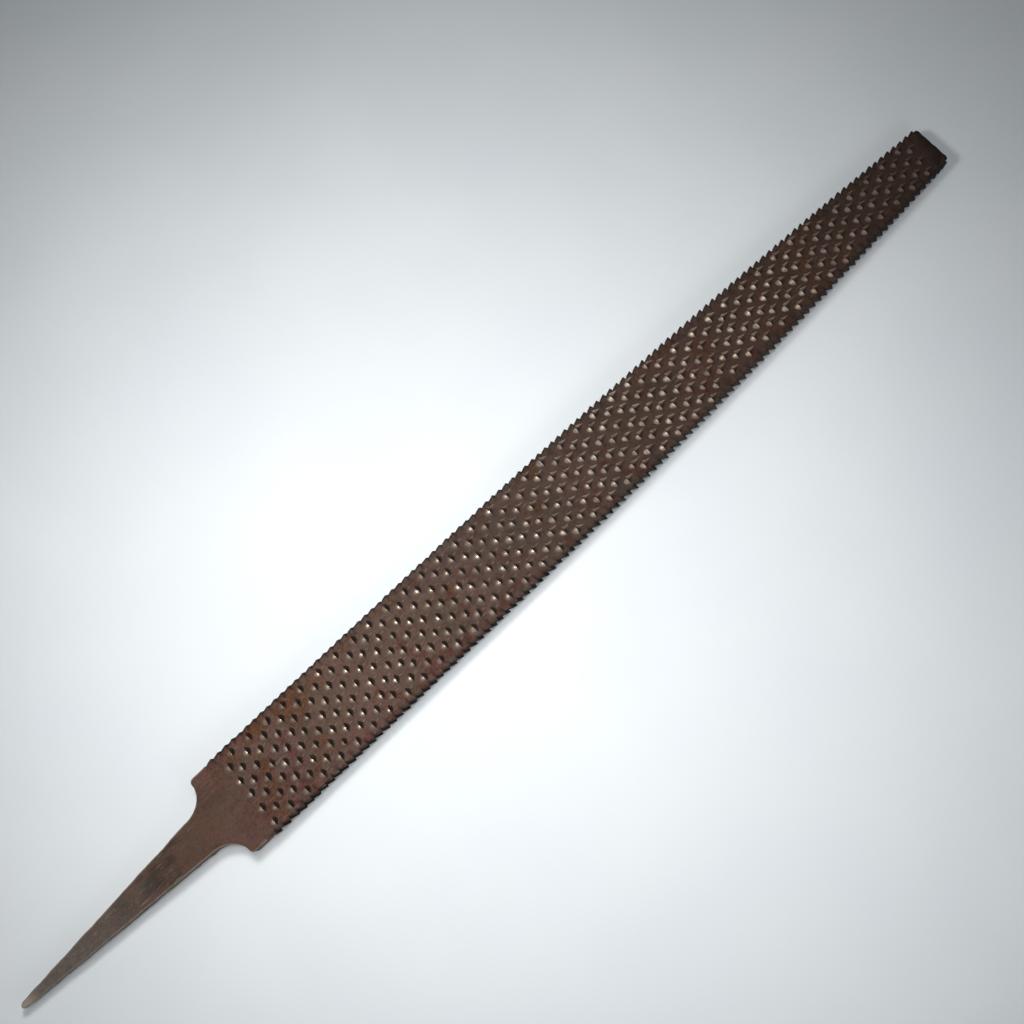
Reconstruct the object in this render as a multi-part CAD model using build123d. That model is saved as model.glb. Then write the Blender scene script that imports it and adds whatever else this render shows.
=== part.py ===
from build123d import *
from math import ceil, sqrt
import os

# A flat rasp: one steel forging, written as four regions that meet face to face.
# Millimetres. X runs from the shoulders (X = 0) to the tip, Y across the width, Z through the thickness.

# Blank
BLADE_LENGTH = 254.0  # shoulders to the tip
BLANK_WIDTH = 23.4
BLANK_THICKNESS = 6.0
WIDTH_TAPER_START = 80.0  # the sides are parallel up to here, then follow one arc
TIP_WIDTH = 11.7
THICKNESS_TAPER_START = 150.0
TIP_THICKNESS = 4.4
TIP_CORNER = 0.8  # how far the tip corner is cut back along the side and across the end
TIP_CORNER_BREAK = 0.27  # the corner point that keeps the cut from being a plain chamfer
BLADE_START = 4.0  # the toothed region takes over from the plain heel
POINT_START = THICKNESS_TAPER_START  # from here to the tip the blade both narrows and thins

# Heel and tang
SHOULDER_CORNER = 1.1
SHOULDER_BACK = -0.6  # where the concave shoulder reaches its outer corner
TANG_START = -8.0
TANG_ROOT_WIDTH = 9.8
TANG_LENGTH = 63.0  # shoulders to the point
TANG_POINT_WIDTH = 2.0
TANG_POINT_THICKNESS = 1.9
EDGE_ROUND = 0.45
OFF_MIDDLE = 0.6  # a long edge runs at least this far from the axis, both across and up

# Saw teeth along both narrow edges
EDGE_PITCH = 2.3
EDGE_FIRST = 4.6
EDGE_LAST = 252.8
EDGE_RAISE = 0.45  # crest above the blank's side
EDGE_CUT = 0.5  # root below the blank's side
CREST_AT = 0.8  # share of the pitch taken by the gentle rise

# Punched teeth on both broad faces
HEEL_ROW_PITCH = 2.7  # rows start close together and open out to the wide pitch
WIDE_ROW_PITCH = 3.1
ROWS_WIDE_FROM = 130.0
FIRST_ROW = 8.4
LAST_ROW = 250.6
TOOTH_PITCH = 4.2  # across the face, over the parallel part
TIP_TOOTH_PITCH = 3.8
HEEL_ROW_SKEW = 0.04  # how far a row leans towards the tip for each millimetre of Y
WIDE_ROW_SKEW = 0.17
SIDE_MARGIN = 1.45  # from a tooth's middle to the blank's side
BURR_RADIUS = 1.05
BURR_TOP_RADIUS = 0.3
BURR_HEIGHT = 0.65
BURR_ROOT = 0.25  # how deep the burr's cone is sunk in the blank
PIT_DEPTH = 0.5
PIT_HALF_WIDTH = 1.0
PIT_LENGTH = 1.5
PIT_BACK = 0.05  # the pit's steep wall, ahead of the burr's middle
PIT_BOTTOM_AT = 0.3  # the pit's deepest point, ahead of the burr's middle
PUNCH_REACH = 0.75  # how far the punch stands out of the pit, which slices the burr's front

TANG_NOSE = TANG_POINT_WIDTH / 2 - TANG_LENGTH  # where the rounded point begins
TANG_TAPER = (TANG_ROOT_WIDTH - TANG_POINT_WIDTH) / 2 / (TANG_START - TANG_NOSE)
TAPER_RUN = BLADE_LENGTH - WIDTH_TAPER_START
TAPER_DROP = (BLANK_WIDTH - TIP_WIDTH) / 2
TAPER_RADIUS = (TAPER_RUN**2 + TAPER_DROP**2) / (2 * TAPER_DROP)


def ramp(x, start, end):
    """0 up to start, 1 at end, and straight between them."""
    return max(0.0, x - start) / (end - start)


def half_width(x):
    """Half the blank's width at x."""
    past = max(0.0, x - WIDTH_TAPER_START)
    return BLANK_WIDTH / 2 - TAPER_RADIUS + sqrt(TAPER_RADIUS**2 - past**2)


def half_thickness(x):
    """Half the blade's thickness at x."""
    lost = BLANK_THICKNESS - TIP_THICKNESS
    return (BLANK_THICKNESS - lost * ramp(x, THICKNESS_TAPER_START, BLADE_LENGTH)) / 2


def side_profile(stations):
    """A slab wider than the part whose thickness follows (x, half thickness) stations."""
    top = [(x, z) for x, z in stations]
    bottom = [(x, -z) for x, z in reversed(stations)]
    profile = Plane.XZ * Polygon(*top, *bottom, align=None)
    return extrude(profile, BLANK_WIDTH, both=True)


def slab(half_outline, ends, stations):
    """A closed half outline and its mirror image, given the thickness of the stations."""
    outline = make_face(half_outline + [mirror(e, Plane.XZ) for e in half_outline] + ends)
    return extrude(outline, BLANK_THICKNESS, both=True) & side_profile(stations)


def round_long_edges(body, start, end):
    """Rounds the edges that run along the body between the planes X = start and X = end."""
    inside = [e for e in body.edges() if start < e.center().X < end]
    long_edges = [e for e in inside if abs(e.center().Z) > OFF_MIDDLE and abs(e.center().Y) > OFF_MIDDLE]
    return fillet(long_edges, EDGE_ROUND)


def heel():
    """The plain heel: full width at the blade, drawn in to the tang by two concave shoulders."""
    side = BLANK_WIDTH / 2
    root = TANG_ROOT_WIDTH / 2
    corner_start = (SHOULDER_BACK + SHOULDER_CORNER, side)
    corner_end = (SHOULDER_BACK, side - SHOULDER_CORNER)
    edge = Line((BLADE_START, side), corner_start)
    corner = TangentArc(corner_start, corner_end, tangent=(-1, 0))
    shoulder = TangentArc((TANG_START, root), corner_end, tangent=(1, TANG_TAPER))
    ends = [Line((x, -y), (x, y)) for x, y in ((BLADE_START, side), (TANG_START, root))]
    thick = BLANK_THICKNESS / 2
    body = slab([edge, corner, shoulder], ends, [(TANG_START, thick), (BLADE_START, thick)])
    return round_long_edges(body, TANG_START, BLADE_START)


def tang():
    """The tang: tapered in width and in thickness to a small rounded point."""
    root = (TANG_START, TANG_ROOT_WIDTH / 2)
    nose = (TANG_NOSE, TANG_POINT_WIDTH / 2)
    side = Line(root, nose)
    half_nose = TangentArc(nose, (-TANG_LENGTH, 0), tangent=(-1, -TANG_TAPER))
    ends = [Line((TANG_START, -TANG_ROOT_WIDTH / 2), root)]
    stations = [(-TANG_LENGTH, TANG_POINT_THICKNESS / 2), (TANG_START, BLANK_THICKNESS / 2)]
    return round_long_edges(slab([side, half_nose], ends, stations), -TANG_LENGTH, TANG_START)


def toothed_side():
    """Plan points of one narrow edge: each tooth rises gently, then drops on its tip side."""
    points = [(BLADE_START, half_width(BLADE_START)), (EDGE_FIRST, half_width(EDGE_FIRST))]
    count = round((EDGE_LAST - EDGE_FIRST) / EDGE_PITCH)
    pitch = (EDGE_LAST - EDGE_FIRST) / count
    for i in range(count):
        start = EDGE_FIRST + i * pitch
        crest = start + CREST_AT * pitch
        end = start + pitch
        points.append((crest, half_width(crest) + EDGE_RAISE))
        points.append((end, half_width(end) - EDGE_CUT))
    return points


def blade_blank():
    """The blade with its saw edges, before its faces are punched."""
    side = toothed_side()
    corner = [(BLADE_LENGTH - TIP_CORNER_BREAK, half_width(BLADE_LENGTH) - TIP_CORNER_BREAK)]
    corner.append((BLADE_LENGTH, half_width(BLADE_LENGTH) - TIP_CORNER))
    upper = side + corner
    lower = [(x, -y) for x, y in reversed(upper)]
    outline = Polygon(*upper, *lower, align=None)
    stations = [(x, half_thickness(x)) for x in (BLADE_START, THICKNESS_TAPER_START, BLADE_LENGTH)]
    return extrude(outline, BLANK_THICKNESS, both=True) & side_profile(stations)


def row_opening(x):
    """How far the rows at x have gone from their heel spacing and lean to the wide ones."""
    return min(1.0, ramp(x, FIRST_ROW, ROWS_WIDE_FROM))


def row_places():
    """X of every row of teeth, where it crosses the axis."""
    places = [FIRST_ROW]
    while places[-1] < LAST_ROW:
        opening = row_opening(places[-1])
        places.append(places[-1] + HEEL_ROW_PITCH + (WIDE_ROW_PITCH - HEEL_ROW_PITCH) * opening)
    return places[:-1]


def tooth_sites():
    """The middle of every tooth on one face, in staggered rows that close up towards the tip."""
    sites = []
    for row, x_row in enumerate(row_places()):
        close_up = ramp(x_row, WIDTH_TAPER_START, BLADE_LENGTH)
        pitch = TOOTH_PITCH - (TOOTH_PITCH - TIP_TOOTH_PITCH) * close_up
        skew = HEEL_ROW_SKEW + (WIDE_ROW_SKEW - HEEL_ROW_SKEW) * row_opening(x_row)
        stagger = 1 / 4 if row % 2 else 3 / 4
        reach = ceil(BLANK_WIDTH / pitch)
        for place in range(-reach, reach):
            y = (place + stagger) * pitch
            x = x_row + skew * y
            if abs(y) < half_width(x) - SIDE_MARGIN:
                sites.append((x, y))
    return sites


def burr():
    """The metal a punch raises: a low cone, sunk in the face so that it joins the blank."""
    slope = (BURR_RADIUS - BURR_TOP_RADIUS) / BURR_HEIGHT
    cone = Cone(BURR_RADIUS + slope * BURR_ROOT, BURR_TOP_RADIUS, BURR_HEIGHT + BURR_ROOT)
    return Pos(0, 0, (BURR_HEIGHT - BURR_ROOT) / 2) * cone


def punch():
    """A three-sided point. It digs the pit and shears the burr's front off."""
    grow = (PIT_DEPTH + PUNCH_REACH) / PIT_DEPTH
    bottom = Vector(PIT_BOTTOM_AT, 0, -PIT_DEPTH)
    at_face = [
        Vector(PIT_BACK, -PIT_HALF_WIDTH, 0),
        Vector(PIT_BACK + PIT_LENGTH, 0, 0),
        Vector(PIT_BACK, PIT_HALF_WIDTH, 0),
    ]
    top = [bottom + (corner - bottom) * grow for corner in at_face]
    walls = [[bottom, top[i], top[(i + 1) % len(top)]] for i in range(len(top))]
    faces = [Face(Wire.make_polygon(corners)) for corners in walls + [top]]
    return Solid(Shell(faces))


def toothed_blade():
    """The blade, from the heel to the tip, with every tooth on both faces."""
    raised = burr()
    dug = punch()
    burrs = []
    punches = []
    for x, y in tooth_sites():
        up = Pos(x, y, half_thickness(x))
        down = Pos(x, -y, -half_thickness(x)) * Rot(180, 0, 0)
        for place in (up, down):
            burrs.append(place * raised)
            punches.append(place * dug)
    return blade_blank().fuse(*burrs).cut(*punches)


def main():
    os.makedirs("parts", exist_ok=True)
    whole = toothed_blade()
    point_plane = Plane.YZ.offset(POINT_START)
    regions = {
        "tang": tang(),
        "heel": heel(),
        "blade": split(whole, bisect_by=point_plane, keep=Keep.BOTTOM),
        "point": split(whole, bisect_by=point_plane, keep=Keep.TOP),
    }
    for name, region in regions.items():
        export_step(region, f"parts/{name}.step")


main()
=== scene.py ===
from math import ceil, cos, pi, radians, sin

import bmesh
import bpy
import numpy as np
from mathutils import Matrix, Vector, noise
from mathutils.geometry import delaunay_2d_cdt


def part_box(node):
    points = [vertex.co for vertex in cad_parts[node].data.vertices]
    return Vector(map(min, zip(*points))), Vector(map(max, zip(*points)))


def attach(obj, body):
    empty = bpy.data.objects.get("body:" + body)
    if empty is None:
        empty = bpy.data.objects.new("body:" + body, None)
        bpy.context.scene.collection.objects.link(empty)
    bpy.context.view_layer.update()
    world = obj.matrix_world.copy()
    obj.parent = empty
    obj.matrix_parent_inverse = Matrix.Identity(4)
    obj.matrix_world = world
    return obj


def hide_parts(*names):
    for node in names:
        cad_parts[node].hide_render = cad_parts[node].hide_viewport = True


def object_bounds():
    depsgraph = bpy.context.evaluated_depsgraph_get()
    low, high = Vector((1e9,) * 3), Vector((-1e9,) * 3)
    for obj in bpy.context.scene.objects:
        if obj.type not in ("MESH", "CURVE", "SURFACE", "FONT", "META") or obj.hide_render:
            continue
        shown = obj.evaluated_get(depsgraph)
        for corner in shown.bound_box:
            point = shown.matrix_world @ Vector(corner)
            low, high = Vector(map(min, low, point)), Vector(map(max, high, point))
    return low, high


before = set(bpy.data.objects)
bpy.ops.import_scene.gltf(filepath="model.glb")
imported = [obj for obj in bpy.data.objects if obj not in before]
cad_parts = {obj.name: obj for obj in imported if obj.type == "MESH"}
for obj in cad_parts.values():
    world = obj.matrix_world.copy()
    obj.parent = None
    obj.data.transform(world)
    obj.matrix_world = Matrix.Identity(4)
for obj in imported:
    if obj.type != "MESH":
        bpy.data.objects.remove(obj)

cad_low, cad_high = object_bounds()

# The shape is worked out in millimetres in the row frame: X to the tip, Y across, Z up.
MM = 0.001


def box_mm(node):
    """A CAD node's lowest and highest corners in millimetres."""
    low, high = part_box(node)
    return low / MM, high / MM


heel_low, heel_high = box_mm("heel")
tang_low, tang_high = box_mm("tang")
point_low, point_high = box_mm("point")

# Blank
BLADE_START = heel_high.x
BLADE_END = point_high.x
POINT_START = point_low.x
BLANK_WIDTH = heel_high.y - heel_low.y
BLANK_THICKNESS = heel_high.z - heel_low.z
WIDTH_TAPER_START = 80.0
TIP_WIDTH = BLANK_WIDTH / 2
TIP_THICKNESS = 4.4
TAPER_DROP = (BLANK_WIDTH - TIP_WIDTH) / 2
TAPER_RADIUS = ((BLADE_END - WIDTH_TAPER_START) ** 2 + TAPER_DROP**2) / (2 * TAPER_DROP)
EDGE_ROUND = 0.45
TOOTHED_EDGE_ROUND = 0.22
RIM_STEPS = 3  # flats round each long edge
RIM_WEAR = 0.1
TIP_POINTS = 14  # across the end of the tip
TIP_RAGGEDNESS = 0.09
SWELL_HEIGHT = 0.05
SWELL_RATE = (0.09, 0.16)  # how fast the swell changes along X and Y
SWELL_SLICE = 3.7  # the height at which the noise is cut
SWELL_FADE = 8.0

# Heel and tang
TANG_POINT = tang_low.x
TANG_START = tang_high.x
TANG_ROOT_HALF = tang_high.y
TANG_POINT_HALF = 1.0
TANG_POINT_THICKNESS = 1.9
TANG_SECTIONS = 70
SHOULDER_CORNER = 1.1
SHOULDER_BACK = -0.6
BROAD_SPLITS = 13  # points across a section's broad side, its two ends included
NARROW_SPLITS = 7
SLOW_DENTS = (0.18, 0.25, 0.25)  # how fast the forging dents change along X, Y and Z
QUICK_DENTS = (0.6, 0.7, 0.7)
DENT_BIAS = 0.45  # most of the surface lies a little inside the nominal one
DENT_FADE = 2.5
CORNER_WEAR = 0.8
HEEL_DENTS, TANG_DENTS = 0.05, 0.16

# Saw teeth on the narrow edges
EDGE_PITCH = 2.3
EDGE_FIRST = 4.6
EDGE_LAST = 252.8
EDGE_JITTER = 0.07
EDGE_RAISE = 0.45
EDGE_CUT = 0.5
EDGE_HEIGHT_SPREAD = (0.88, 0.1)  # mean and spread of the teeth's height, as a share of the full one
EDGE_LEAN = 0.42  # the notches lean: each runs towards the tip by this much for its depth
LEAN_FADE = 8.0
UPPER_FINS, LOWER_FINS = 0.4, 1.15  # how far each edge's blunt teeth turn into fins past the middle
# Painted shade along the narrow edges and a thin band beside them
EDGE_SHADE = 0.85
EDGE_SHADE_FADE = 3.0
MARGIN = 0.55  # the painted shade along the edge ends this far in from the blank's side
MARGIN_STEP = 1.15

# One saw tooth: share of its pitch, then height, as a share of EDGE_RAISE above the blank's side
# or of EDGE_CUT below it
BLUNT_TOOTH = np.array(
    [(0.0, -0.9), (0.1, -0.4), (0.3, 0.1), (0.56, 0.5), (0.87, 1.0), (0.92, 0.85), (0.95, -0.8)]
)
FIN_TOOTH = np.array(
    [(0.0, -1.0), (0.25, -0.5), (0.5, 0.1), (0.72, 0.75), (0.92, 1.5), (0.95, 0.9), (0.98, -0.7)]
)
# Where the edge rounds into the tip: X, then distance in from the blank's side
TIP_CORNER = ((EDGE_LAST, 0.1), (BLADE_END - 0.5, 0.12), (BLADE_END - 0.14, 0.42), (BLADE_END, 0.95))

# Rows of punched teeth on the broad faces
HEEL_ROW_PITCH = 2.7
WIDE_ROW_PITCH = 3.1
ROWS_WIDE_FROM = 130.0
FIRST_ROW = 8.4
LAST_ROW = 250.6
TOOTH_PITCH = 4.2
TIP_TOOTH_PITCH = 3.8
HEEL_ROW_SKEW = 0.04
WIDE_ROW_SKEW = 0.17
SIDE_MARGIN = 1.45
SIDE_REACH = 0.6  # a tooth keeps clear of the edge notches this far before and after each of its points
SIDE_GAP = 0.05
PLACE_JITTER = 0.16
SIDEWAYS_JITTER = PLACE_JITTER * 0.7
LONG_PITS_FROM, LONG_PITS_TO = 70.0, 135.0  # domes with short pits turn into wedges with long ones

# How much the teeth differ from one another
CHANGE_RANGE = (0.85, 1.1)  # how far along that change a tooth is
SIZE_SPREAD = 0.06
HEIGHT_SPREAD = (0.94, 0.07)
LENGTH_RANGE = (0.9, 1.1)
DEPTH_RANGE = (0.85, 1.1)
TURN_SPREAD = 4.0  # degrees
LAST_TEETH_LOSE = 0.6  # of their height, beside the tip

# The burr behind a cutting edge: its rings run from the top to the foot, in shares of its size
BURR_HEIGHT = 0.65
BURR_HALF_WIDTH = 1.15
WEDGE_HALF_WIDTH = 1.1
BURR_LENGTH = 1.5
WEDGE_LENGTH = 1.2
BURR_SIDESTEP = -0.12  # the burr leans off its pit's middle
BURR_TAIL = 0.4  # how much longer a wedge burr is on its +Y side than on its axis
BURR_RINGS = (0.18, 0.34, 0.5, 0.66, 0.8, 0.92, 1.0)
FINE_RINGS_FROM = 0.5
COARSE_RING, FINE_RING = 7, 11  # points on a ring
SHADE_ENDS_AT = 1.22  # the painted shade round a burr's foot ends here, in burr lengths
SHADE_END_POINTS = 6
SHADE_END_FROM = 0.3  # radians from the cutting edge
DOME_SETBACK = 0.17  # share of a dome's length from the cutting edge back to its top
DOME_SHOULDER, DOME_FULLNESS, DOME_FOOT = 2.2, 0.9, 6  # powers that shape a dome
WEDGE_SIDES, WEDGE_FOOT = 3, 5  # powers that shape a wedge
RIPPLE_HEIGHT = 0.07
RIPPLE_RATE = 17.0
RIPPLE_START = 3  # the ripple is whole from a third of the way out
# Bare metal on the burrs: real wear, spread wide and light to serve as their painted highlight too
DOME_BARE, DOME_BARE_LOSS = 0.98, 0.86
WEDGE_BARE_TO = 0.5  # share of a wedge's length that is bare metal
# Painted shade in the crease round a burr's foot
FOOT_SHADE = 0.34
FOOT_SHADE_FROM, FOOT_SHADE_TO = 0.84, 0.97

# The pit ahead of a cutting edge, station by station from its steep wall to its far end: distance
# ahead, half width, depth as a share of PIT_DEPTH, dirt and painted shade, and bare metal as a painted
# glint along the valley
PIT_DEPTH = 0.58
PIT_AHEAD = (0.4, 0.72, 1.05, 1.35, 1.9, 2.5)
SHORT_PIT_WIDTH = (1.06, 0.66, 0.15, 0.08, 0.06, 0.0)
LONG_PIT_WIDTH = (1.02, 0.87, 0.72, 0.56, 0.28, 0.0)
SHORT_PIT_DEPTH = (1.0, 0.55, 0.2, 0.14, 0.1, 0.0)
LONG_PIT_DEPTH = (1.0, 0.86, 0.7, 0.54, 0.27, 0.0)
SHORT_PIT_SHADE_AND_DIRT = (1.0, 1.0, 0.8, 0.1, 0.0, 0.0)
LONG_PIT_SHADE_AND_DIRT = (1.0, 0.9, 0.8, 0.65, 0.4, 0.0)
# a painted glint of bare metal along a short pit's valley
VALLEY_GLINT = (0.0, 0.0, 0.1, 0.3, 0.25, 0.0)
PIT_SKEW = 0.15  # a pit's valley drifts across the face as it runs to the tip
PIT_END_RISE = 0.02
MOUTH_SHARE, LONG_MOUTH = 0.98, 0.1  # a pit's mouth, from its burr's half width
WALL_FOOT = 0.07  # how far the steep wall runs forwards at its ends
# painted shade at the foot of the steep wall, less by this share at its ends
WALL_END_SHADE_LOSS = 0.6
LIP = 0.05  # metal pushed up along a pit's rim
LIP_WIDTH = 0.13
LIP_AHEAD = 0.04
RIM_OVER_VALLEY = 1.4  # how much brighter a short pit's painted rim glint is than its valley's
# A long pit's +Y rim gets a painted highlight for its lit wall, and its -Y rim keeps part of its painted
# shade.
LIT_RIM_SHEEN = 0.8
LOWER_RIM_SHADE_LOSS = 0.45
NEIGHBOUR_REACH = PIT_AHEAD[-1] + 0.6
DEEPEST_OVERLAP = 1.2  # in pit depths, where pits run together

TINY = 1e-6
CREASE_ANGLE = radians(38)
rng = np.random.default_rng(11)


def ramp(x, start, end):
    """0 before start, 1 after end, and straight in between."""
    return np.clip((x - start) / (end - start), 0.0, 1.0)


def smooth(t):
    """An S-shaped curve from 0 to 1."""
    return t * t * (3 - 2 * t)


def half_width(x):
    """Half the blank's width: parallel at first, then drawn in along one arc."""
    past = np.maximum(0.0, np.asarray(x, float) - WIDTH_TAPER_START)
    return BLANK_WIDTH / 2 - TAPER_RADIUS + np.sqrt(TAPER_RADIUS**2 - past**2)


def half_thickness(x):
    """Half the blank's thickness, which falls evenly along the point."""
    lost = BLANK_THICKNESS - TIP_THICKNESS
    return (BLANK_THICKNESS - lost * ramp(np.asarray(x, float), POINT_START, BLADE_END)) / 2


def waviness(x, y):
    """The forged face is not quite flat: a slow swell of a few hundredths of a millimetre."""
    swell = noise.noise(Vector((x * SWELL_RATE[0], y * SWELL_RATE[1], SWELL_SLICE)))
    return SWELL_HEIGHT * swell * float(ramp(x, BLADE_START, BLADE_START + SWELL_FADE))


# --- one tooth -------------------------------------------------------------------------------------------


def burr_shape(back, across, wedge_share):
    """Height of a burr, 0 to 1. It is a rippled dome near the heel and a plain wedge further on."""
    r = np.clip(np.hypot(back, across), 0, 1)
    from_top = (np.abs(back) - DOME_SETBACK) / (1 - DOME_SETBACK)
    inside = np.clip(np.hypot(from_top, across), 0, 1)
    dome = (1 - inside**DOME_SHOULDER) ** DOME_FULLNESS * (1 - r**DOME_FOOT)
    ripple = RIPPLE_HEIGHT * np.sin(inside * RIPPLE_RATE)
    ripple = ripple * (1 - inside) * np.clip(inside * RIPPLE_START, 0, 1)
    roof = np.clip(1 - np.abs(back), 0, 1) * np.clip(1 - np.abs(across) ** WEDGE_SIDES, 0, 1)
    wedge = roof * (1 - r**WEDGE_FOOT)
    return (dome + ripple) * (1 - wedge_share) + wedge * wedge_share


def between(short, long, share):
    """Values part of the way from a short pit's to a long pit's."""
    short = np.array(short)
    return short + (np.array(long) - short) * share


class Tooth:
    """One punched tooth: a burr behind its cutting edge and a three-sided pit ahead of it."""

    def __init__(self, x, y):
        self.x, self.y = x, y
        along = float(smooth(ramp(x, LONG_PITS_FROM, LONG_PITS_TO)))
        self.share = min(1.0, along * rng.uniform(*CHANGE_RANGE))
        fade = 1 - LAST_TEETH_LOSE * float(ramp(x, LAST_ROW - 6, LAST_ROW + 2))
        size = rng.normal(1.0, SIZE_SPREAD)
        self.height = BURR_HEIGHT * fade * min(1.0, rng.normal(*HEIGHT_SPREAD))
        half = BURR_HALF_WIDTH + (WEDGE_HALF_WIDTH - BURR_HALF_WIDTH) * self.share
        length = BURR_LENGTH + (WEDGE_LENGTH - BURR_LENGTH) * self.share
        self.half = size * half
        self.length = size * length * rng.uniform(*LENGTH_RANGE)
        self.turn = radians(rng.normal(0, TURN_SPREAD))
        self.depth = fade * rng.uniform(*DEPTH_RANGE)
        self.width = between(SHORT_PIT_WIDTH, LONG_PIT_WIDTH, self.share) * size
        self.valley = between(SHORT_PIT_DEPTH, LONG_PIT_DEPTH, self.share) * PIT_DEPTH
        self.dirt_and_shade = between(SHORT_PIT_SHADE_AND_DIRT, LONG_PIT_SHADE_AND_DIRT, self.share)
        self.mouth = MOUTH_SHARE * self.half + LONG_MOUTH * self.share
        self.points, self.chains = [], []
        crest = self.add_burr()
        foot = self.add_wall(crest)
        self.add_pit(foot)

    def place(self, a, b):
        """Local (ahead, across) to face coordinates."""
        x = self.x + a * cos(self.turn) - b * sin(self.turn)
        y = self.y + a * sin(self.turn) + b * cos(self.turn)
        return x, y

    def local(self, x, y):
        """Face coordinates to local (ahead, across)."""
        dx, dy = x - self.x, y - self.y
        ahead = dx * cos(self.turn) + dy * sin(self.turn)
        return ahead, -dx * sin(self.turn) + dy * cos(self.turn)

    def height_at(self, x, y):
        """What this tooth adds to the face at points of another tooth."""
        a, b = self.local(x, y)
        across = (b - BURR_SIDESTEP) / self.half
        back = a / (self.length * (1 + BURR_TAIL * self.share * np.clip(across, -1, 1)))
        on_burr = (a <= 0) & (np.hypot(back, across) < 1)
        raised = np.where(on_burr, self.height * burr_shape(back, across, self.share), 0.0)
        width = np.interp(a, PIT_AHEAD, self.width, left=0.0, right=0.0)
        valley = np.interp(a, PIT_AHEAD, self.valley)
        off = np.abs(b - PIT_SKEW * a) / np.maximum(width, TINY)
        return raised - np.where(off < 1, valley * self.depth * (1 - off), 0.0)

    def wear_and_sheen(self, r):
        """Bare metal shows on the top of a dome, and over most of a wedge's back: wear, and a painted
        highlight.
        """
        on_dome = DOME_BARE - DOME_BARE_LOSS * r
        on_wedge = 1 - float(smooth(ramp(r, WEDGE_BARE_TO, 1.0)))
        return self.share * on_wedge + (1 - self.share) * on_dome

    def add(self, a, b, z, wear_and_sheen=0.0, dirt_and_shade=0.0):
        """A point in local coordinates. Returns its number."""
        self.points.append((a, b, z, wear_and_sheen, dirt_and_shade))
        return len(self.points) - 1

    def add_burr(self):
        """Rings of points over the burr's back. Returns the cutting edge along its crest."""
        top = self.add(0.0, BURR_SIDESTEP, self.height, self.wear_and_sheen(0.0))
        left, right = [], []
        for r in BURR_RINGS:
            # Painted shade darkens the crease round the burr's foot.
            dirt_and_shade = FOOT_SHADE * float(ramp(r, FOOT_SHADE_FROM, FOOT_SHADE_TO))
            count = COARSE_RING if r < FINE_RINGS_FROM else FINE_RING
            for angle in np.linspace(pi / 2, 3 * pi / 2, count):
                back, across = r * cos(angle), r * sin(angle)
                on_edge = abs(back) < TINY
                a = 0.0 if on_edge else back * self.length * (1 + BURR_TAIL * self.share * across)
                z = self.height * float(burr_shape(back, across, self.share))
                index = self.add(a, BURR_SIDESTEP + self.half * across, z, self.wear_and_sheen(r), dirt_and_shade)
                if on_edge:
                    (left if across > 0 else right).append(index)
        # Points with no painted shade, where the shade round the foot stops.
        for angle in np.linspace(pi / 2 + SHADE_END_FROM, 3 * pi / 2 - SHADE_END_FROM, SHADE_END_POINTS):
            b = BURR_SIDESTEP + SHADE_ENDS_AT * self.half * sin(angle)
            self.add(SHADE_ENDS_AT * self.length * cos(angle), b, 0.0)
        crest = left[::-1] + [top] + right
        self.chains.append(crest)
        return crest

    def add_wall(self, crest):
        """The steep wall from the crest down to the floor of the pit. Returns its foot."""
        foot = []
        for index in crest:
            b = self.points[index][1]
            side = np.clip(abs(b - PIT_SKEW * PIT_AHEAD[0]) / self.mouth, 0, 1)
            forward = WALL_FOOT + (PIT_AHEAD[0] - WALL_FOOT) * (1 - side)
            drop = PIT_DEPTH * self.depth * (1 - side)
            # The wall's foot gets dirt and painted shade, less towards its ends.
            foot.append(self.add(forward, b, -drop, 0.0, 1 - side * WALL_END_SHADE_LOSS))
        self.chains.append(foot)
        return foot

    def add_pit(self, foot):
        """The valley of the pit and its two rims, from the foot of the wall to the far end."""
        off_middle = [abs(self.points[i][1] - PIT_SKEW * PIT_AHEAD[0]) for i in foot]
        valley = [foot[int(np.argmin(off_middle))]]
        rims = {1: [foot[0]], -1: [foot[-1]]}
        last = len(PIT_AHEAD) - 1
        for k, a in enumerate(PIT_AHEAD):
            if k > 0:
                z = PIT_END_RISE if k == last else -self.valley[k] * self.depth
                # Short pits get a painted glint along the valley, whose darkness is dirt and painted
                # shade.
                wear_and_sheen = VALLEY_GLINT[k] * (1 - self.share)
                valley.append(self.add(a, PIT_SKEW * a, z, wear_and_sheen, self.dirt_and_shade[k]))
            if k < last:
                for side in (1, -1):
                    rims[side].append(self.add_rim(k, side))
        self.chains.append(valley)
        for side in (1, -1):
            self.chains.append(rims[side] + [valley[-1]])

    def add_rim(self, k, side):
        """A point on one rim of the pit, and one beside it where the lip ends. Returns the first."""
        a = PIT_AHEAD[k]
        b = PIT_SKEW * a + side * self.width[k]
        short_glint = VALLEY_GLINT[k] * RIM_OVER_VALLEY
        # On a short pit both rims get the same painted glint; on a long pit the +Y rim gets a painted
        # highlight for its lit wall, and the -Y rim keeps part of its painted shade.
        if side == 1:
            wear_and_sheen = short_glint + (LIT_RIM_SHEEN - short_glint) * self.share
            dirt_and_shade = self.dirt_and_shade[k] * (1 - self.share)
        else:
            wear_and_sheen = short_glint * (1 - self.share)
            dirt_and_shade = self.dirt_and_shade[k] * (1 - LOWER_RIM_SHADE_LOSS * self.share)
        rim = self.add(a, b, LIP, wear_and_sheen, dirt_and_shade)
        self.add(a + LIP_AHEAD, b + side * LIP_WIDTH, 0.0)
        return rim


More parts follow.
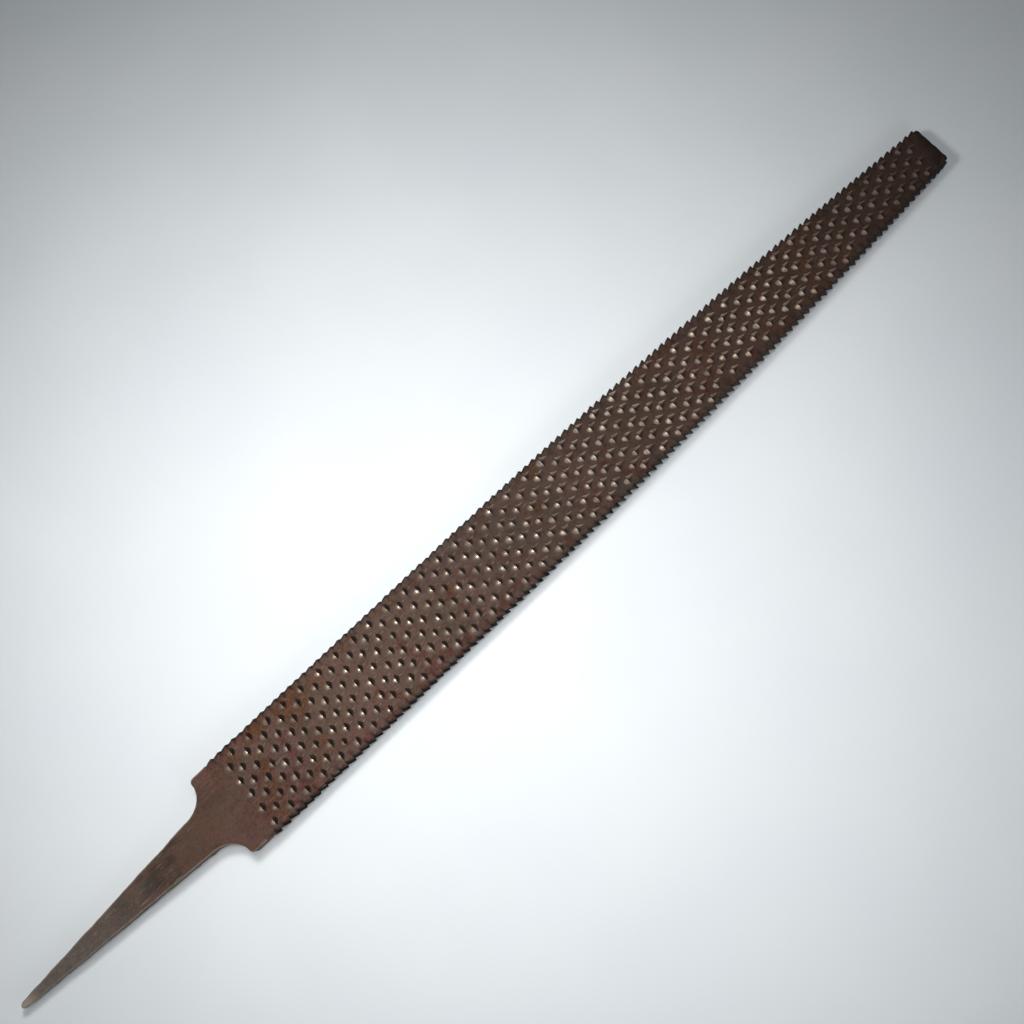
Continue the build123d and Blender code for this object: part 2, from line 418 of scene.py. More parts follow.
def tooth_places():
    """Staggered rows of tooth middles that lean, close up towards the tip, and wander a little."""
    places = []
    x_row, row = FIRST_ROW, 0
    while x_row < LAST_ROW:
        close_up = float(ramp(x_row, WIDTH_TAPER_START, BLADE_END))
        opening = float(ramp(x_row, FIRST_ROW, ROWS_WIDE_FROM))
        skew = HEEL_ROW_SKEW + (WIDE_ROW_SKEW - HEEL_ROW_SKEW) * opening
        pitch = TOOTH_PITCH - (TOOTH_PITCH - TIP_TOOTH_PITCH) * close_up
        stagger = 1 / 4 if row % 2 else 3 / 4
        reach = ceil(BLANK_WIDTH / pitch)
        for place in range(-reach, reach):
            y = (place + stagger) * pitch
            x = x_row + skew * y
            if abs(y) < half_width(x) - SIDE_MARGIN:
                x += rng.normal(0, PLACE_JITTER)
                places.append((x, y + rng.normal(0, SIDEWAYS_JITTER)))
        x_row += HEEL_ROW_PITCH + (WIDE_ROW_PITCH - HEEL_ROW_PITCH) * opening
        row += 1
    return places


# --- the blade -------------------------------------------------------------------------------------------


def saw_edge(side):
    """(x, y) along one narrow edge from the heel to the tip, tooth by tooth."""
    count = round((EDGE_LAST - EDGE_FIRST) / EDGE_PITCH)
    starts = np.linspace(EDGE_FIRST, EDGE_LAST, count + 1)
    starts[1:-1] += rng.normal(0, EDGE_JITTER, count - 1)
    finned = LOWER_FINS if side < 0 else UPPER_FINS
    points = [(BLADE_START, float(half_width(BLADE_START)))]
    for i in range(count):
        raise_by = EDGE_RAISE * min(1.0, rng.normal(*EDGE_HEIGHT_SPREAD))
        past_middle = float(smooth(ramp(starts[i], LONG_PITS_FROM, LONG_PITS_TO)))
        for t, level in BLUNT_TOOTH + (FIN_TOOTH - BLUNT_TOOTH) * past_middle * finned:
            x = starts[i] + t * (starts[i + 1] - starts[i])
            lift = raise_by * level if level > 0 else EDGE_CUT * level
            if i == 0 and t == 0.0:
                lift = 0.0
            points.append((x, float(half_width(x)) + lift))
    end = float(half_width(BLADE_END))
    points += [(x, end - distance) for x, distance in TIP_CORNER]
    return [(x, side * y) for x, y in points]


def blade_outline():
    """The plan outline, anticlockwise from the heel's lower corner, with the ragged tip."""
    lower = saw_edge(-1)
    upper = saw_edge(1)
    tip = []
    for y in np.linspace(lower[-1][1], upper[-1][1], TIP_POINTS)[1:-1]:
        tip.append((BLADE_END - abs(rng.normal(0, TIP_RAGGEDNESS)), y))
    return np.array(lower + tip + upper[::-1])


def rim_radius(x):
    """The radius of the long edges: the heel's own, then a smaller one along the teeth."""
    return EDGE_ROUND + (TOOTHED_EDGE_ROUND - EDGE_ROUND) * ramp(x, BLADE_START, BLADE_START + 2.0)


def inset(outline, share):
    """The outline drawn in by a share of its rim radius: across the blade, and back from the tip."""
    radius = rim_radius(outline[:, 0]) * share
    out = outline.copy()
    out[:, 1] -= np.sign(outline[:, 1]) * np.minimum(radius, np.abs(outline[:, 1]) * 0.5)
    near_tip = ramp(outline[:, 0], BLADE_END - 1.0, BLADE_END - 0.4)
    out[:, 0] -= near_tip * radius
    inside_tip = np.abs(outline[:, 1]) < half_width(BLADE_END) - 1.0
    tip = inside_tip & (near_tip > 0)
    out[tip, 1] = outline[tip, 1]
    return out


def edge_shade(x):
    """Painted shade on the narrow edges. It fades in from the heel."""
    return EDGE_SHADE * ramp(x, BLADE_START, BLADE_START + EDGE_SHADE_FADE)


def leaned(outline, depth):
    """The outline as it stands this far below the upper face, where the notches have run forwards."""
    x = outline[:, 0]
    from_heel = ramp(x, BLADE_START, BLADE_START + LEAN_FADE)
    fade = from_heel * (1 - ramp(x, BLADE_END - LEAN_FADE, BLADE_END))
    out = outline.copy()
    out[:, 0] += EDGE_LEAN * depth * fade
    return out


def outline_at(outline, side, share):
    """The outline beside one face, 1 the upper and -1 the lower, drawn in by a share of its rim."""
    depth = 0.0 if side == 1 else TIP_THICKNESS
    return inset(leaned(outline, depth), share)


def side_lines(boundary):
    """The boundary's lower and upper lines, each as its x values and its y values from heel to tip."""
    before_tip = boundary[boundary[:, 0] < BLADE_END - 0.6]
    lower = before_tip[before_tip[:, 1] < 0]
    upper = before_tip[before_tip[:, 1] > 0][::-1]
    return (lower[:, 0], lower[:, 1]), (upper[:, 0], upper[:, 1])


def kept_inside(x, y, lower, upper):
    """y drawn in where it has to be, so that a tooth never crosses the notched side of its face."""
    near = x + np.linspace(-SIDE_REACH, SIDE_REACH, 13)
    lowest = np.interp(near, *lower).max() + SIDE_GAP
    highest = np.interp(near, *upper).min() - SIDE_GAP
    return float(np.clip(y, lowest, highest))


def toothed_face(boundary):
    """Triangles of one broad face: the place and (height above the blank, wear and painted sheen, dirt and
    painted shade) of each vertex.
    """
    lower, upper = side_lines(boundary)
    teeth = [Tooth(x, y) for x, y in tooth_places()]
    coords = [tuple(p) for p in boundary]
    data = [(0.0, 0.0, 0.0)] * len(coords)
    owner = [-1] * len(coords)
    edges = [(i, (i + 1) % len(coords)) for i in range(len(coords))]
    for k, tooth in enumerate(teeth):
        first = len(coords)
        for a, b, z, wear_and_sheen, dirt_and_shade in tooth.points:
            x, y = tooth.place(a, b)
            coords.append((x, kept_inside(x, y, lower, upper)))
            data.append((z, wear_and_sheen, dirt_and_shade))
            owner.append(k)
        for chain in tooth.chains:
            edges += [(first + i, first + j) for i, j in zip(chain, chain[1:]) if i != j]
    # Points a little in from the sides, where the edges' painted shade stops.
    for x in np.arange(BLADE_START + 1.0, BLADE_END - 1.5, MARGIN_STEP):
        for side in (1, -1):
            coords.append((x, side * (float(half_width(x)) - MARGIN)))
            data.append((0.0, 0.0, 0.0))
            owner.append(-1)
    points = [Vector(c) for c in coords]
    verts, _, faces, origins, _, _ = delaunay_2d_cdt(points, edges, [], 1, 1e-5)
    xy = np.array([tuple(v) for v in verts])
    values = np.zeros((len(xy), 3))
    owners = np.full(len(xy), -1)
    for i, sources in enumerate(origins):
        if sources:
            values[i] = data[min(sources)]
            owners[i] = owner[min(sources)]
    add_neighbours(xy, values, owners, teeth)
    on_rim = np.array([bool(s) and min(s) < len(boundary) for s in origins])
    # The outline's vertices get the edges' painted shade.
    values[on_rim, :2] = 0.0
    values[on_rim, 2] = edge_shade(xy[on_rim, 0])
    return xy, values, faces, origins


def add_neighbours(xy, values, owners, teeth):
    """Adds to each vertex what the teeth beside its own raise or dig there."""
    order = np.argsort(xy[:, 0])
    along = xy[order, 0]
    for k, tooth in enumerate(teeth):
        ends = (tooth.x - NEIGHBOUR_REACH, tooth.x + NEIGHBOUR_REACH)
        first, last = np.searchsorted(along, ends)
        near = order[first:last]
        near = near[(owners[near] != k) & (np.abs(xy[near, 1] - tooth.y) < NEIGHBOUR_REACH)]
        values[near, 0] += tooth.height_at(xy[near, 0], xy[near, 1])
    values[:, 0] = np.clip(values[:, 0], -PIT_DEPTH * DEEPEST_OVERLAP, BURR_HEIGHT)


class Shell:
    """A mesh in the making: its vertices, each with wear and painted sheen, and dirt and painted shade,
    and the faces between them.
    """

    def __init__(self):
        self.vertices, self.faces = [], []
        self.wear_and_sheen, self.dirt_and_shade = [], []

    def add(self, x, y, z, wear_and_sheen=0.0, dirt_and_shade=0.0):
        """A vertex in millimetres. Returns its number."""
        self.vertices.append((x, y, z))
        self.wear_and_sheen.append(wear_and_sheen)
        self.dirt_and_shade.append(dirt_and_shade)
        return len(self.vertices) - 1


def add_face(shell, outline, side):
    """One broad face, 1 the upper and -1 the lower. Returns its vertices along the outline."""
    xy, values, triangles, origins = toothed_face(outline_at(outline, side, 1.0))
    first = len(shell.vertices)
    ring = [0] * len(outline)
    for i, sources in enumerate(origins):
        x, y = xy[i]
        lift, wear_and_sheen, dirt_and_shade = values[i]
        level = float(half_thickness(x)) + lift
        on_rim = bool(sources) and min(sources) < len(outline)
        if not on_rim:
            level = min(level + waviness(x, y), BLANK_THICKNESS / 2 + BURR_HEIGHT)
        index = shell.add(x, y, side * level, wear_and_sheen, dirt_and_shade)
        for source in sources:
            if source < len(outline):
                ring[source] = index
    for triangle in triangles:
        corners = [first + i for i in triangle]
        shell.faces.append(corners if side == 1 else corners[::-1])
    return ring


def add_rim_loop(shell, outline, side, angle):
    """A loop of vertices round the blade's rim: angle 0 is on the face, a right angle on the side."""
    # The rim's vertices carry the edges' painted shade.
    wear_and_sheen = RIM_WEAR if angle < pi / 2 else 0.0
    loop = []
    for x, y in outline_at(outline, side, 1 - sin(angle)):
        drop = float(rim_radius(x)) * (1 - cos(angle))
        z = side * (float(half_thickness(x)) - drop)
        loop.append(shell.add(x, y, z, wear_and_sheen, float(edge_shade(x))))
    return loop


def build_blade():
    """The toothed blade as one closed mesh: two punched faces joined by rounded saw-toothed sides."""
    outline = blade_outline()
    shell = Shell()
    upper_ring = add_face(shell, outline, 1)
    lower_ring = add_face(shell, outline, -1)
    downwards = np.linspace(0, pi / 2, RIM_STEPS + 1)[1:]
    loops = [upper_ring]
    loops += [add_rim_loop(shell, outline, 1, angle) for angle in downwards]
    loops += [add_rim_loop(shell, outline, -1, angle) for angle in downwards[::-1]]
    loops.append(lower_ring)
    for upper, lower in zip(loops, loops[1:]):
        for i in range(len(outline) - 1):
            shell.faces.append((upper[i], lower[i], lower[i + 1], upper[i + 1]))
    shell.faces.append([loop[0] for loop in loops] + [loop[-1] for loop in reversed(loops)])
    return make_piece("blade_steel_body", shell)


# --- heel and tang ---------------------------------------------------------------------------------------


def rounded_section(half_y, half_z):
    """A rounded rectangle in Y and Z, anticlockwise seen from the tip."""
    points = []
    radius = min(EDGE_ROUND, half_y * 0.8, half_z * 0.8)
    broad = np.linspace(-1, 1, BROAD_SPLITS)[1:-1]
    narrow = np.linspace(-1, 1, NARROW_SPLITS)[1:-1]
    corners = ((1, 1, 0.0), (-1, 1, pi / 2), (-1, -1, pi), (1, -1, 3 * pi / 2))
    for number, (sy, sz, start) in enumerate(corners):
        for k in range(RIM_STEPS + 1):
            angle = start + pi / 2 * k / RIM_STEPS
            y = sy * (half_y - radius) + radius * cos(angle)
            z = sz * (half_z - radius) + radius * sin(angle)
            points.append((y, z))
        if number in (0, 2):
            points += [(-sy * t * (half_y - radius), sz * half_z) for t in broad]
        else:
            points += [(sy * half_y, -sz * t * (half_z - radius)) for t in narrow]
    return points


def shank_profile():
    """(x, half width, half thickness) from the blade back through the shoulders to the tang."""
    side = BLANK_WIDTH / 2
    thick = BLANK_THICKNESS / 2
    stations = [(x, side) for x in np.linspace(BLADE_START, SHOULDER_BACK + SHOULDER_CORNER, 5)]
    for angle in np.linspace(0, pi / 2, 7)[1:]:
        x = SHOULDER_BACK + SHOULDER_CORNER * (1 - sin(angle))
        stations.append((x, side - SHOULDER_CORNER * (1 - cos(angle))))
    shoulder_y = side - SHOULDER_CORNER
    for angle in np.linspace(0, pi / 2, 17)[1:]:
        x = TANG_START + (SHOULDER_BACK - TANG_START) * cos(angle)
        stations.append((x, shoulder_y - (shoulder_y - TANG_ROOT_HALF) * sin(angle)))
    return [(x, y, thick) for x, y in stations]


def tang_profile():
    """(x, half width, half thickness) along the tang to its blunt point."""
    nose = TANG_POINT + TANG_POINT_HALF
    thick, thin = BLANK_THICKNESS / 2, TANG_POINT_THICKNESS / 2
    out = []
    for x in np.linspace(TANG_START, nose, TANG_SECTIONS):
        t = (TANG_START - x) / (TANG_START - nose)
        z = thick + (thin - thick) * (TANG_START - x) / (TANG_START - TANG_POINT)
        out.append((x, TANG_ROOT_HALF + (TANG_POINT_HALF - TANG_ROOT_HALF) * t, z))
    for angle in np.linspace(0, pi / 2, 7)[1:]:
        shrink = max(0.25, cos(angle))
        z = thin * (0.55 + 0.45 * shrink)
        out.append((nose - TANG_POINT_HALF * sin(angle), TANG_POINT_HALF * shrink, z))
    return out


def dent(x, y, z):
    """How deep the hand-forged surface is dented here, 0 where it isn't."""
    slow = noise.noise(Vector([value * rate for value, rate in zip((x, y, z), SLOW_DENTS)]))
    quick = noise.noise(Vector([value * rate for value, rate in zip((x, y, z), QUICK_DENTS)]))
    return max(0.0, slow + 0.5 * quick + DENT_BIAS)


def loft(name, profile, roughness):
    """A closed piece through rounded sections, with forging dents that fade at the end nearer the tip."""
    shell = Shell()
    loops = []
    start = profile[0][0]
    for x, half_y, half_z in profile:
        fade = float(ramp(abs(x - start), 0.0, DENT_FADE))
        loop = []
        for y, z in rounded_section(half_y, half_z):
            scale = 1 - dent(x, y, z) * roughness * fade / max(half_y, half_z)
            corner = min(abs(y) - half_y, abs(z) - half_z) > -EDGE_ROUND * 0.8
            loop.append(shell.add(x, y * scale, z * scale, CORNER_WEAR if corner else 0.0))
        loops.append(loop)
    for a, b in zip(loops, loops[1:]):
        for i in range(len(a)):
            j = (i + 1) % len(a)
            shell.faces.append((a[i], a[j], b[j], b[i]))
    shell.faces.append(loops[0][::-1])
    shell.faces.append(loops[-1])
    return make_piece(name, shell)


def make_piece(name, shell):
    """A mesh object in metres, with its wear and sheen, and its pit value of dirt and painted shade, as
    attributes and its creases kept sharp.
    """
    mesh = bpy.data.meshes.new(name)
    mesh.from_pydata((np.array(shell.vertices) * MM).tolist(), [], [tuple(f) for f in shell.faces])
    for label, values in (("wear_and_sheen", shell.wear_and_sheen), ("pit", shell.dirt_and_shade)):
        attribute = mesh.attributes.new(label, "FLOAT", "POINT")
        attribute.data.foreach_set("value", np.array(values, np.float32))
    work = bmesh.new()
    work.from_mesh(mesh)
    loose = [v for v in work.verts if not v.link_faces]
    bmesh.ops.delete(work, geom=loose, context="VERTS")
    bmesh.ops.recalc_face_normals(work, faces=work.faces)
    open_edges = sum(1 for e in work.edges if not e.is_manifold)
    if open_edges:
        print(f"{name} has {open_edges} open edges")
    work.to_mesh(mesh)
    work.free()
    mesh.shade_smooth()
    mesh.set_sharp_from_angle(angle=CREASE_ANGLE)
    piece = bpy.data.objects.new(name, mesh)
    bpy.context.scene.collection.objects.link(piece)
    return piece


# --- materials -------------------------------------------------------------------------------------------


class Nodes:
    """A short way to write a node tree."""

    def __init__(self, name):
        self.material = bpy.data.materials.new(name)
        self.material.use_nodes = True
        self.tree = self.material.node_tree
        self.shader = self.tree.nodes["Principled BSDF"]
        where = self.add("ShaderNodeTexCoord").outputs
        self.place, self.facing = where["Object"], where["Normal"]

    def add(self, kind, **settings):
        node = self.tree.nodes.new(kind)
        for key, value in settings.items():
            setattr(node, key, value)
        return node

    def link(self, source, target):
        self.tree.links.new(source, target)

    def value(self, socket, source):
        """Feed a socket from a number or from another socket."""
        if isinstance(source, (int, float)):
            socket.default_value = source
        else:
            self.link(source, socket)

    def math(self, operation, a, b, clamp=False):
        """One sum of two values or sockets."""
        node = self.add("ShaderNodeMath", operation=operation, use_clamp=clamp)
        for socket, source in zip(node.inputs, (a, b)):
            self.value(socket, source)
        return node.outputs[0]

    def scaled(self, factors):
        """Object coordinates in millimetres, stretched by factors."""
        node = self.add("ShaderNodeVectorMath", operation="MULTIPLY")
        self.link(self.place, node.inputs[0])
        node.inputs[1].default_value = [f / MM for f in factors]
        return node.outputs[0]

    def noise(self, size, detail=4.0, roughness=0.6, stretch=(1, 1, 1), distortion=0.0):
        """Noise whose features are about size millimetres."""
        node = self.add("ShaderNodeTexNoise")
        self.link(self.scaled([s / size for s in stretch]), node.inputs["Vector"])
        node.inputs["Scale"].default_value = 1.0
        node.inputs["Detail"].default_value = detail
        node.inputs["Roughness"].default_value = roughness
        node.inputs["Distortion"].default_value = distortion
        return node.outputs["Fac"]

    def range(self, source, low, high, to_low=0.0, to_high=1.0):
        """A smooth step from to_low, where the source is at low, to to_high, where it is at high."""
        node = self.add("ShaderNodeMapRange", interpolation_type="SMOOTHSTEP")
        self.link(source, node.inputs["Value"])
        limits = {"From Min": low, "From Max": high, "To Min": to_low, "To Max": to_high}
        for socket, number in limits.items():
            node.inputs[socket].default_value = number
        return node.outputs["Result"]

    def mix(self, share, a, b):
        """Colour a, turned into colour b by a share."""
        node = self.add("ShaderNodeMix", data_type="RGBA")
        self.value(node.inputs["Factor"], share)
        for socket, colour in ((node.inputs["A"], a), (node.inputs["B"], b)):
            if isinstance(colour, tuple):
                socket.default_value = (*colour, 1.0)
            else:
                self.link(colour, socket)
        return node.outputs["Result"]

    def blend(self, share, a, b):
        """Number a, turned into number b by a share."""
        node = self.add("ShaderNodeMix", data_type="FLOAT")
        for socket, source in (("Factor", share), ("A", a), ("B", b)):
            self.value(node.inputs[socket], source)
        return node.outputs["Result"]

    def times(self, a, b):
        return self.math("MULTIPLY", a, b)

    def most(self, a, b):
        return self.math("MAXIMUM", a, b)

    def rest(self, a):
        """What is left of 1."""
        return self.math("SUBTRACT", 1.0, a)

    def along(self, vector):
        """The X, Y and Z of a vector."""
        node = self.add("ShaderNodeSeparateXYZ")
        self.link(vector, node.inputs[0])
        return node.outputs["X"], node.outputs["Y"], node.outputs["Z"]

    def attribute(self, name):
        return self.add("ShaderNodeAttribute", attribute_name=name).outputs["Fac"]

    def bump(self, height, distance_mm, strength=1.0, before=None):
        node = self.add("ShaderNodeBump")
        node.inputs["Strength"].default_value = strength
        node.inputs["Distance"].default_value = distance_mm * MM
        self.link(height, node.inputs["Height"])
        if before:
            self.link(before, node.inputs["Normal"])
        return node.outputs["Normal"]


STEEL_BROWN = (0.090, 0.045, 0.026)
PURPLE_BROWN = (0.108, 0.050, 0.036)
GREY_STEEL = (0.084, 0.064, 0.050)
PALE_STEEL = (0.160, 0.134, 0.113)
# Dark scale, also used as the colour of painted shade
DARK_SCALE_AND_SHADE = (0.011, 0.008, 0.007)
ORANGE_RUST = (0.170, 0.062, 0.024)
RED_RUST = (0.140, 0.042, 0.028)
YELLOW_RUST = (0.34, 0.22, 0.05)
# Bare steel, also used as the colour of painted highlights and glints
BARE_STEEL_AND_SHEEN = (0.47, 0.375, 0.295)

# Where the look changes, as the X, or the Y, at which each change begins and ends
PALE_TANG = (TANG_POINT, TANG_POINT + 52.0)
BARE_POINT = (TANG_POINT + 0.5, TANG_POINT + 6.0)
RUST_BEGINS = (0.0, 14.0)
HEEL_RUST_ENDS = (30.0, 75.0)
UPPER_SIDE_Y = (1.0, 11.0)
LOWER_SIDE_Y = (-12.0, 2.0)
GROUND_DARKENS = (42.0, 115.0)
WEAR_DULLS = (180.0, 248.0)
TIP_DARKENS = (205.0, 258.0)

RUST_EDGE = (0.56, 0.68)  # the noise levels between which a patch of rust begins
MORE_ORANGE, MORE_RED = 0.17, 0.08  # added to that noise where the rust is thickest
SHADE_WALL_FROM, SHADE_WALL_TO = 0.4, 0.75  # how squarely a wall has to face the tip to get painted shade
OXIDE_ROUGHNESS = (0.58, 0.72)
RUST_ROUGHNESS = 0.85
DIRT_AND_SHADE_ROUGHNESS = 0.9
BARE_ROUGHNESS = (0.21, 0.44)  # on the domes near the heel, and on the wedges
METAL_SHARE = 0.6
STEEL_SPECULAR = 0.22

# How much of each thing a region shows, 0 to 1
BLADE_LOOK = {"patches": 1.0, "grey": 0.15, "scratches": 0.2, "blotches": 0.25, "mottle": 0.5}
HEEL_LOOK = {"patches": 1.0, "grey": 0.15, "scratches": 0.2, "blotches": 0.25, "mottle": 0.35}
TANG_LOOK = {"patches": 0.25, "grey": 0.8, "scratches": 1.0, "blotches": 0.6, "mottle": 0.32}


def oxide(n, medium, grey, blotches):
    """The dark brown skin of old steel, greyer or blacker in places."""
    colour = n.mix(n.range(n.noise(14.0, detail=3.0), 0.35, 0.65), STEEL_BROWN, PURPLE_BROWN)
    colour = n.mix(n.times(n.range(medium, 0.42, 0.7), grey), colour, GREY_STEEL)
    blotch = n.range(n.noise(5.0, detail=6.0, stretch=(0.6, 1, 1)), 0.46, 0.62)
    return n.mix(n.times(blotch, blotches), colour, DARK_SCALE_AND_SHADE)


def rust_shares(n, x, y, patches):
    """How much orange rust and how much red rust lies at each place."""
    speckle = n.range(n.noise(0.45, detail=3.0, roughness=0.7), 0.42, 0.58, 0.1, 1.0)
    spotted = n.times(speckle, n.range(x, *RUST_BEGINS, 0.15 * patches, patches))

    # Orange lies thickest beside the upper edge near the heel.
    near_heel = n.rest(n.range(x, *HEEL_RUST_ENDS))
    beside_edge = n.times(n.range(y, *UPPER_SIDE_Y), n.range(x, *RUST_BEGINS))
    favoured = n.times(n.times(near_heel, beside_edge), MORE_ORANGE)
    orange_at = n.math("ADD", n.noise(9.0, detail=6.0, roughness=0.62), favoured)

    # Red lies thickest on the lower side.
    favoured = n.times(n.rest(n.range(y, *LOWER_SIDE_Y)), MORE_RED)
    red_at = n.math("ADD", n.noise(7.0, detail=6.0, roughness=0.65, stretch=(1, 1.2, 1)), favoured)
    return [n.times(n.range(place, *RUST_EDGE), spotted) for place in (orange_at, red_at)]


def rusted(n, colour, orange, red, patches):
    """The colour with its orange and red rust, and a few yellow specks."""
    colour = n.mix(orange, colour, ORANGE_RUST)
    colour = n.mix(red, colour, RED_RUST)
    specks = n.range(n.noise(1.6, detail=2.0), 0.73, 0.80)
    specks = n.times(specks, n.range(n.noise(16.0), 0.5, 0.6))
    return n.mix(n.times(specks, 0.7 * patches), colour, YELLOW_RUST)


def aged(n, colour, x, medium, fine, mottle):
    """The colour as it changes along the rasp: paler on the tang, darker past the middle."""
    paler = n.times(n.rest(n.range(x, *PALE_TANG)), n.range(medium, 0.2, 0.6, 0.5, 1.0))
    colour = n.mix(paler, colour, PALE_STEEL)
    colour = n.mix(n.range(x, *TIP_DARKENS, 0.0, 0.24), colour, DARK_SCALE_AND_SHADE)
    colour = n.mix(n.times(n.range(fine, 0.42, 0.66), mottle), colour, DARK_SCALE_AND_SHADE)
    return n.mix(n.range(x, *GROUND_DARKENS, 0.0, 0.38), colour, DARK_SCALE_AND_SHADE)


def bare_metal_and_sheen(n, x, orange, tip_wall_shade, scratches):
    """How much bare metal shows: on the worn tops of the teeth, which also serve as painted highlights, as
    painted glints on some pit rims and valleys, and along scratches.
    """
    chipped = n.range(n.noise(1.1, roughness=0.7), 0.35, 0.6, 0.4, 1.0)
    worn_and_sheen = n.times(n.math("SUBTRACT", n.attribute("wear_and_sheen"), tip_wall_shade, clamp=True), chipped)
    worn_and_sheen = n.math("MULTIPLY", worn_and_sheen, n.range(x, *WEAR_DULLS, 1.0, 0.3), clamp=True)
    worn_and_sheen = n.times(worn_and_sheen, n.blend(orange, 1.0, 0.55))
    streaks = n.noise(0.35, detail=2.0, stretch=(0.05, 1, 1), distortion=0.4)
    scratched = n.times(n.range(n.noise(9.0), 0.45, 0.6), scratches)
    return n.most(worn_and_sheen, n.times(n.range(streaks, 0.62, 0.70), scratched))


def relief(n, bare_and_sheen, rust, medium, fine):
    """The oxide's grain and blisters, which bare metal lacks, and the crust on the rust."""
    smoothed = n.rest(n.times(bare_and_sheen, 0.95))
    grain = n.bump(n.times(fine, smoothed), 0.05, 0.8)
    blister = n.bump(n.times(medium, smoothed), 0.10, 0.7, grain)
    crust = n.times(n.noise(0.6, roughness=0.75), rust)
    return n.bump(crust, 0.22, 1.0, blister)


def rusted_steel(name, patches, grey, scratches, blotches, mottle):
    """Old steel: dark oxide, patches of orange and red rust, bright worn metal with painted highlights,
    and dark pits with painted shade.
    """
    n = Nodes(name)
    x, y, _ = n.along(n.scaled((1, 1, 1)))
    towards_tip, _, _ = n.along(n.facing)
    medium = n.noise(3.2, detail=5.0, roughness=0.65)
    fine = n.noise(0.55, roughness=0.7)
    orange, red = rust_shares(n, x, y, patches)

    # The cutting walls of the teeth face the tip and get painted shade, as dark as the pits.
    tip_wall_shade = n.range(towards_tip, SHADE_WALL_FROM, SHADE_WALL_TO)
    dirt_and_shade = n.most(n.attribute("pit"), tip_wall_shade)
    polish_and_sheen = bare_metal_and_sheen(n, x, orange, tip_wall_shade, scratches)
    bare_and_sheen = n.most(polish_and_sheen, n.rest(n.range(x, *BARE_POINT)))

    colour = rusted(n, oxide(n, medium, grey, blotches), orange, red, patches)
    colour = aged(n, colour, x, medium, fine, mottle)
    # Dirt, and painted shade in the pits, round the burrs' feet, on the narrow edges and on walls facing
    # the tip.
    colour = n.mix(n.times(dirt_and_shade, 0.95), colour, DARK_SCALE_AND_SHADE)
    # Bare metal, with painted highlights on the teeth and painted glints along some pit rims and valleys.
    colour = n.mix(n.times(bare_and_sheen, 0.8), colour, BARE_STEEL_AND_SHEEN)

    rust = n.most(orange, red)
    rough = n.blend(rust, n.range(medium, 0.3, 0.7, *OXIDE_ROUGHNESS), RUST_ROUGHNESS)
    bare_rough = n.range(x, LONG_PITS_FROM, LONG_PITS_TO, *BARE_ROUGHNESS)
    rough = n.most(n.blend(bare_and_sheen, rough, bare_rough), n.times(dirt_and_shade, DIRT_AND_SHADE_ROUGHNESS))

    n.link(colour, n.shader.inputs["Base Color"])
    n.link(rough, n.shader.inputs["Roughness"])
    n.link(n.times(polish_and_sheen, METAL_SHARE), n.shader.inputs["Metallic"])
    n.shader.inputs["Specular IOR Level"].default_value = STEEL_SPECULAR
    n.link(relief(n, bare_and_sheen, rust, medium, fine), n.shader.inputs["Normal"])
    return n.material


def paper(name):
    """The pale floor."""
    n = Nodes(name)
    tint = n.mix(n.range(n.noise(60.0, detail=2.0), 0.3, 0.7), *FLOOR_TINTS)
    n.link(tint, n.shader.inputs["Base Color"])
    n.shader.inputs["Roughness"].default_value = 0.75
    n.shader.inputs["Specular IOR Level"].default_value = 0.2
    return n.material


# --- floor, light and camera -----------------------------------------------------------------------------

FLOOR_Z = cad_low.z
FLOOR_HALF = 1.2
FLOOR_TINTS = (0.80, 0.84, 0.86), (0.84, 0.87, 0.88)

# Each lamp: its name, its place and what it points at in millimetres, its size in millimetres, its
# power in watts, its spread in degrees, and its colour
LAMPS = (
    ("key_light", (52.0, 48.0, 180.0), (95.0, -25.0, 0.0), 50.0, 0.22, 180.0, (1.0, 1.0, 0.985)),
    ("top_light", (80.0, -12.0, 520.0), (80.0, -12.0, 0.0), 160.0, 0.118, 50.0, (0.98, 0.99, 1.0)),
    ("low_light", (110.0, -230.0, 215.0), (110.0, 0.0, 0.0), 200.0, 0.043, 90.0, (0.98, 0.99, 1.0)),
)
LAMP_UP = Vector((0.3, 1, 0))
ROOM_COLOUR = (0.86, 0.93, 1.0, 1.0)
ROOM_STRENGTH = 0.13

CAMERA_AIM = (101.6, 5.4)
CAMERA_DISTANCE = 311.5
CAMERA_TILT = radians(12.0)
CAMERA_UP = Vector((0.694, 0.720, 0.0))
FIELD_OF_VIEW = radians(45.0)


def build_floor():
    """A large square of pale paper under the rasp."""
    s = FLOOR_HALF
    corners = [(x, y, FLOOR_Z) for x, y in ((-s, -s), (s, -s), (s, s), (-s, s))]
    mesh = bpy.data.meshes.new("floor")
    mesh.from_pydata(corners, [], [(0, 1, 2, 3)])
    floor = bpy.data.objects.new("floor", mesh)
    bpy.context.scene.collection.objects.link(floor)
    mesh.materials.append(paper("floor_paper"))


def aimed(location, target, up):
    """A matrix at location that looks along -Z at target."""
    back = (location - target).normalized()
    right = up.cross(back).normalized()
    turn = Matrix((right, back.cross(right), back)).transposed()
    return Matrix.Translation(location) @ turn.to_4x4()


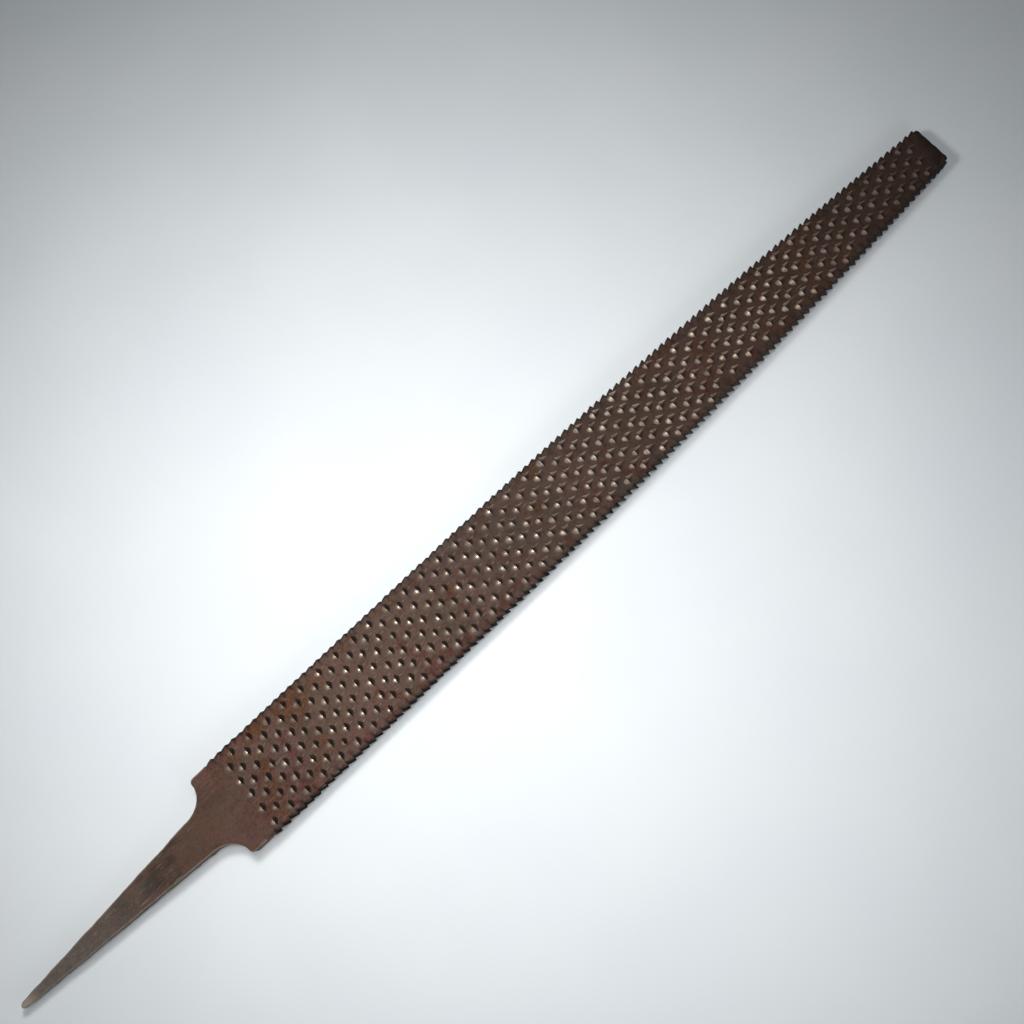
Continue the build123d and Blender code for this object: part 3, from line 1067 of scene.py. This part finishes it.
def add_lamp(name, place, target, size, power, spread, colour):
    """A round area lamp."""
    data = bpy.data.lights.new(name, "AREA")
    data.shape = "DISK"
    data.size = size * MM
    data.energy = power
    data.color = colour
    data.spread = radians(spread)
    lamp = bpy.data.objects.new(name, data)
    lamp.matrix_world = aimed(Vector(place) * MM, Vector(target) * MM, LAMP_UP)
    bpy.context.scene.collection.objects.link(lamp)


def build_lights():
    """A small key lamp, a soft one overhead, a low one from the side, and a dim even room."""
    for lamp in LAMPS:
        add_lamp(*lamp)
    world = bpy.data.worlds.new("room")
    bpy.context.scene.world = world
    world.use_nodes = True
    background = world.node_tree.nodes["Background"]
    background.inputs["Color"].default_value = ROOM_COLOUR
    background.inputs["Strength"].default_value = ROOM_STRENGTH


def build_camera():
    """Nearly straight above the rasp, with the tip to the upper right."""
    # The default view transform would flatten the contrast between the pale floor and dark steel.
    bpy.context.scene.view_settings.view_transform = "Standard"
    data = bpy.data.cameras.new("camera")
    data.sensor_width = 36.0
    data.angle = FIELD_OF_VIEW
    data.clip_start = 0.01
    camera = bpy.data.objects.new("camera", data)
    aim = Vector((*CAMERA_AIM, BLANK_THICKNESS / 2))
    back = -CAMERA_UP.normalized() * sin(CAMERA_TILT) + Vector((0, 0, cos(CAMERA_TILT)))
    camera.matrix_world = aimed((aim + back * CAMERA_DISTANCE) * MM, aim * MM, CAMERA_UP)
    bpy.context.scene.collection.objects.link(camera)
    bpy.context.scene.camera = camera


# --- the object ------------------------------------------------------------------------------------------

blade = build_blade()
heel = loft("heel_steel_body", shank_profile(), HEEL_DENTS)
tang = loft("tang_steel_body", tang_profile(), TANG_DENTS)
blade.data.materials.append(rusted_steel("blade_rusted_steel", **BLADE_LOOK))
heel.data.materials.append(rusted_steel("heel_rusted_steel", **HEEL_LOOK))
tang.data.materials.append(rusted_steel("tang_rusted_steel", **TANG_LOOK))

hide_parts("blade", "point")
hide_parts("heel")
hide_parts("tang")
for piece, slot in ((blade, "blade_steel"), (heel, "heel_steel"), (tang, "tang_steel")):
    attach(piece, "root")

build_floor()
build_lights()
build_camera()
